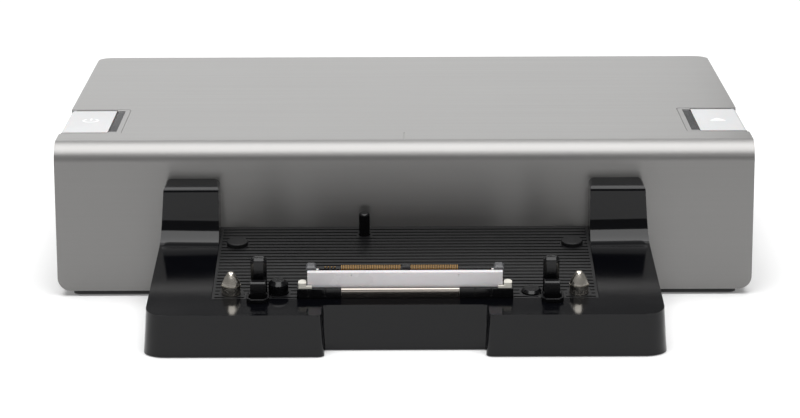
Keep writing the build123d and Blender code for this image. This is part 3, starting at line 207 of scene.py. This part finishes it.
looks = {
    "silver_paint": brushed_silver("silver_paint", (0.222, 0.219, 0.215), 0.33, stretch=0.75),
    "silver_plastic": brushed_silver("silver_plastic", (0.222, 0.219, 0.216), 0.35, stretch=0.6),
    "steel_sheet": brushed_silver("steel_sheet", (0.5, 0.5, 0.5), 0.4),
    "port_metal": brushed_silver("port_metal", (0.6, 0.6, 0.58), 0.3),
    "zinc_screw": turned_metal("zinc_screw", (0.6, 0.6, 0.58), 0.3),
    "spring_wire": turned_metal("spring_wire", (0.55, 0.55, 0.55), 0.28),
    "polished_steel": turned_metal("polished_steel", (0.92, 0.87, 0.78), 0.16),
    "hook_metal": moulded("hook_metal", (0.005, 0.005, 0.0055), 0.25, 0.3, specular_ior_level=0.35),
    "bar_metal": brushed_silver("bar_metal", (0.34, 0.31, 0.28), 0.14),
    "gold_plate": turned_metal("gold_plate", (0.42, 0.24, 0.07), 0.3),
    "gloss_black": gloss_black(),
    "matte_black": moulded(
        "matte_black", (0.006, 0.006, 0.0066), 0.36, 0.25, 0.03, specular_ior_level=0.32
    ),
    "black_plastic": moulded(
        "black_plastic", (0.0025, 0.0025, 0.003), 0.2, 0.3, 0.006, specular_ior_level=0.3
    ),
    "black_rubber": moulded("black_rubber", (0.02, 0.02, 0.02), 0.75, 0.4, 0.04),
    "grey_rubber": moulded("grey_rubber", (0.005, 0.005, 0.0055), 0.45, 0.4, 0.03, specular_ior_level=0.25),
    "black_screw": moulded("black_screw", (0.03, 0.03, 0.03), 0.4, 0.2, metallic=0.6),
    "board_green": circuit_board(),
    "chip_black": moulded("chip_black", (0.03, 0.03, 0.033), 0.6, 0.3, 0.02),
    "ribbon_grey": ribbon(),
    "button_white": moulded(
        "button_white", (0.50, 0.503, 0.508), 0.5, 0.6, 0.002, spread=0.02,
        specular_ior_level=0.3, subsurface_weight=0.12, subsurface_scale=0.003
    ),
    "light_window": moulded(
        "light_window", (0.02, 0.021, 0.024), 0.4, 0.3, 0.01, specular_ior_level=0.25
    ),
    "ivory_plastic": moulded("ivory_plastic", (0.62, 0.60, 0.54), 0.4, 0.4, 0.01),
    "shutter_white": moulded(
        "shutter_white", (0.64, 0.62, 0.635), 0.28, 0.6, 0.004, subsurface_weight=0.1, subsurface_scale=0.002
    ),
    "grey_plastic": moulded("grey_plastic", (0.055, 0.055, 0.06), 0.3, 0.4, 0.01),
}


def inside_box(s, low, high):
    """1 inside a box given in metres, 0 outside."""
    parts = s.node("ShaderNodeSeparateXYZ")
    s.link(s.place(), parts.inputs[0])
    mask = None
    for axis in range(3):
        middle = s.node("ShaderNodeMath", operation="SUBTRACT")
        s.link(parts.outputs[axis], middle.inputs[0])
        middle.inputs[1].default_value = (low[axis] + high[axis]) / 2
        reach = s.node("ShaderNodeMath", operation="ABSOLUTE")
        s.link(middle.outputs[0], reach.inputs[0])
        within = s.node("ShaderNodeMath", operation="LESS_THAN")
        s.link(reach.outputs[0], within.inputs[0])
        within.inputs[1].default_value = (high[axis] - low[axis]) / 2
        if mask is None:
            mask = within.outputs[0]
        else:
            both = s.node("ShaderNodeMath", operation="MULTIPLY")
            s.link(mask, both.inputs[0])
            s.link(within.outputs[0], both.inputs[1])
            mask = both.outputs[0]
    return mask


def socket_look(node, outside, insert, margin_x, margin_z, depth):
    """Socket whose middle, within margins and from a depth behind its face, is coloured plastic."""
    low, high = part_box(node)
    s = Shader(node, roughness=0.4)
    box_low = (low.x + margin_x * MM, high.y - depth * MM, low.z + margin_z * MM)
    box_high = (high.x - margin_x * MM, high.y + 1 * MM, high.z - margin_z * MM)
    mask = inside_box(s, box_low, box_high)
    s.color(s.blend(mask, outside, insert))
    s.link(s.ramp(mask, 0, 1, 1.0, 0.0), s.bsdf.inputs["Metallic"])
    s.roughness(s.ramp(s.noise(s.place(), 400.0), 0.3, 0.7, 0.28, 0.45))
    return s.material


def stacked_look(node, lower, upper):
    """Two sockets one over the other, each in its own colour."""
    low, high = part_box(node)
    s = Shader(node, roughness=0.4)
    half = (low.z + high.z) / 2
    mask = inside_box(s, (low.x - 0.01, low.y - 0.01, half), (high.x + 0.01, high.y + 0.01, high.z + 0.01))
    s.color(s.blend(mask, lower, upper))
    s.bump(s.noise(s.place(), 1800.0), 0.02, 0.5)
    return s.material


nickel = (0.62, 0.61, 0.58)
slot_of = {part["node"]: part["material_slot"] for part in frame["record"]["subparts"]}
look_of = {node: looks[slot_of[node]] for node in frame["nodes"]}
look_of["vga_port"] = socket_look("vga_port", nickel, (0.03, 0.08, 0.42), 7.4, 3.2, 1.9)
look_of["dvi_port"] = socket_look("dvi_port", nickel, (0.75, 0.75, 0.74), 7.2, 3.0, 1.9)
look_of["parallel_port"] = socket_look("parallel_port", nickel, (0.42, 0.04, 0.18), 7.2, 3.2, 1.9)
look_of["serial_port"] = socket_look("serial_port", nickel, (0.04, 0.32, 0.30), 8.0, 4.0, 8.0)
look_of["ps2_ports"] = stacked_look("ps2_ports", (0.22, 0.10, 0.38), (0.10, 0.34, 0.14))
look_of["audio_jacks"] = stacked_look("audio_jacks", (0.62, 0.25, 0.32), (0.22, 0.48, 0.16))
for node, piece in frame["nodes"].items():
    for material_slot in piece.material_slots:
        material_slot.material = look_of[node]


# ------------------------------------------------------------------ softened edges
def soften(node, width_mm, segments=3):
    """Small rounded edges on a moulded or pressed piece."""
    piece = frame["nodes"][node]
    weld = piece.modifiers.new("weld", "WELD")
    weld.merge_threshold = WELD_MM * MM
    bevel = piece.modifiers.new("edge", "BEVEL")
    bevel.width = width_mm * MM
    bevel.segments = segments
    bevel.limit_method = "ANGLE"
    bevel.angle_limit = math.radians(SHARP_DEGREES)
    bevel.use_clamp_overlap = True
    normals = piece.modifiers.new("normals", "WEIGHTED_NORMAL")
    normals.keep_sharp = False


edge_widths = {
    "deck_shell": 1.5, "guide_posts": 0.35, "left_plunger": 0.25, "right_plunger": 0.25,
    "connector_base": 0.2, "connector_shutter": 0.3, "corner_guides": 0.25, "hook_collars": 0.3,
    "left_hook": 0.25, "right_hook": 0.25,
    "button_bezels": 0.3, "bay_module": 0.5, "housing_cover": 0.25, "bottom_pan": 0.3,
}
for node, edge_width in edge_widths.items():
    soften(node, edge_width)


# ------------------------------------------------------------------ mesh pieces made here
def mesh_piece(name, build, material, body):
    """Make a piece from a function that fills a bmesh, in metres, and let it ride on a body."""
    made = bmesh.new()
    build(made)
    bmesh.ops.recalc_face_normals(made, faces=made.faces)
    mesh = bpy.data.meshes.new(name)
    made.to_mesh(mesh)
    made.free()
    piece = bpy.data.objects.new(name, mesh)
    scene.collection.objects.link(piece)
    mesh.materials.append(material)
    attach(piece, body)


def prism(made, outline, z_low, z_high):
    """Closed prism over a flat outline of (x, y) points."""
    bottom = [made.verts.new((x, y, z_low)) for x, y in outline]
    top = [made.verts.new((x, y, z_high)) for x, y in outline]
    made.faces.new(list(reversed(bottom)))
    made.faces.new(top)
    for i in range(len(outline)):
        j = (i + 1) % len(outline)
        made.faces.new((bottom[i], bottom[j], top[j], top[i]))


def arc_outline(cx, cy, outer, inner, start, end, steps=28):
    """Outline of a ring sector."""
    angles = [start + (end - start) * i / steps for i in range(steps + 1)]
    points = [(cx + outer * math.cos(a), cy + outer * math.sin(a)) for a in angles]
    points += [(cx + inner * math.cos(a), cy + inner * math.sin(a)) for a in reversed(angles)]
    return points


symbol_white = moulded("symbol_white", (0.78, 0.78, 0.78), 0.5, 0.4, 0.002, spread=0.02)
cap_low, cap_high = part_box("power_button")
symbol_top = cap_high.z + 0.06 * MM
symbol_bottom = cap_high.z - 0.1 * MM
ring_outer, ring_inner, ring_gap = 4.2 * MM, 3.2 * MM, math.radians(38)
bar_half, bar_foot, bar_head = 0.5 * MM, 0.6 * MM, 4.8 * MM
eject_half, eject_foot, eject_tip = 3.9 * MM, -1.2 * MM, 3.9 * MM
eject_bar_low, eject_bar_high = -3.4 * MM, -2.2 * MM


def symbol(made, outline):
    """Thin raised print on a cap."""
    prism(made, outline, symbol_bottom, symbol_top)


def rectangle(x_low, y_low, x_high, y_high):
    return [(x_low, y_low), (x_high, y_low), (x_high, y_high), (x_low, y_high)]


def power_mark(made):
    x, y = (cap_low.x + cap_high.x) / 2 + 0.5 * MM, (cap_low.y + cap_high.y) / 2 + 2.2 * MM
    start = math.pi / 2 + ring_gap
    end = math.pi / 2 + 2 * math.pi - ring_gap
    symbol(made, arc_outline(x, y, ring_outer, ring_inner, start, end))
    symbol(made, rectangle(x - bar_half, y + bar_foot, x + bar_half, y + bar_head))


def eject_mark(made):
    low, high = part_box("eject_button")
    x, y = (low.x + high.x) / 2 - 0.6 * MM, (low.y + high.y) / 2 - 0.2 * MM
    symbol(made, [(x - eject_half, y + eject_foot), (x + eject_half, y + eject_foot), (x, y + eject_tip)])
    symbol(made, rectangle(x - eject_half, y + eject_bar_low, x + eject_half, y + eject_bar_high))


mesh_piece("power_mark", power_mark, symbol_white, "power_button_body")
mesh_piece("eject_mark", eject_mark, symbol_white, "eject_button_body")

# ------------------------------------------------------------------ camera
camera_place = (-0.0029, -1.4019, 0.3782)
camera_yaw, camera_pitch, camera_roll = -0.03, 76.03, -0.19   # degrees
lens_mm, sensor_mm = 126.0, 36.0
view_limit = 50.0                      # metres, past the far edge of the floor

camera_data = bpy.data.cameras.new("camera")
camera_data.sensor_width = sensor_mm
camera_data.lens = lens_mm
camera_data.clip_end = view_limit
camera = bpy.data.objects.new("camera", camera_data)
scene.collection.objects.link(camera)
camera.matrix_world = (
    Matrix.Translation(camera_place)
    @ Matrix.Rotation(math.radians(camera_yaw), 4, "Z")
    @ Matrix.Rotation(math.radians(camera_pitch), 4, "X")
    @ Matrix.Rotation(math.radians(camera_roll), 4, "Z")
)
scene.camera = camera

# ------------------------------------------------------------------ floor, lights, world
floor_half = 30
floor_glow = 0.16                      # lifts the floor to the pale background
world_level = 0.17

floor_mesh = bpy.data.meshes.new("floor")
floor_corners = [(x, y, 0) for x, y in rectangle(-floor_half, -floor_half, floor_half, floor_half)]
floor_mesh.from_pydata(floor_corners, [], [(0, 1, 2, 3)])
floor = bpy.data.objects.new("floor", floor_mesh)
scene.collection.objects.link(floor)
floor_look = Shader("floor", (0.78, 0.78, 0.78), roughness=0.9, specular_ior_level=0.1)
floor_look.bsdf.inputs["Emission Color"].default_value = (1, 1, 1, 1)
floor_look.bsdf.inputs["Emission Strength"].default_value = floor_glow
floor_mesh.materials.append(floor_look.material)


def area_light(name, place, target, size_x, size_y, power):
    """Rectangular softbox at place, in metres and watts, that faces the target."""
    data = bpy.data.lights.new(name, "AREA")
    data.shape = "RECTANGLE"
    data.size = size_x
    data.size_y = size_y
    data.energy = power
    light = bpy.data.objects.new(name, data)
    scene.collection.objects.link(light)
    light.location = place
    direction = Vector(target) - Vector(place)
    light.rotation_euler = direction.to_track_quat("-Z", "Y").to_euler()


area_light("overhead", (0.0, -0.6, 1.7), (0, -0.6, 0), 1.7, 2.2, 50)
area_light("overhead_back", (0.0, 1.1, 1.75), (0, 0.3, 0), 1.8, 1.0, 9)
area_light("back_left", (-0.70, 2.5, 0.80), (0, 0, 0.08), 2.6, 1.45, 19)

world = bpy.data.worlds.new("studio")
scene.world = world
world.use_nodes = True
background = world.node_tree.nodes["Background"]
background.inputs["Color"].default_value = (1, 1, 1, 1)
background.inputs["Strength"].default_value = world_level

scene.view_settings.view_transform = "Standard"
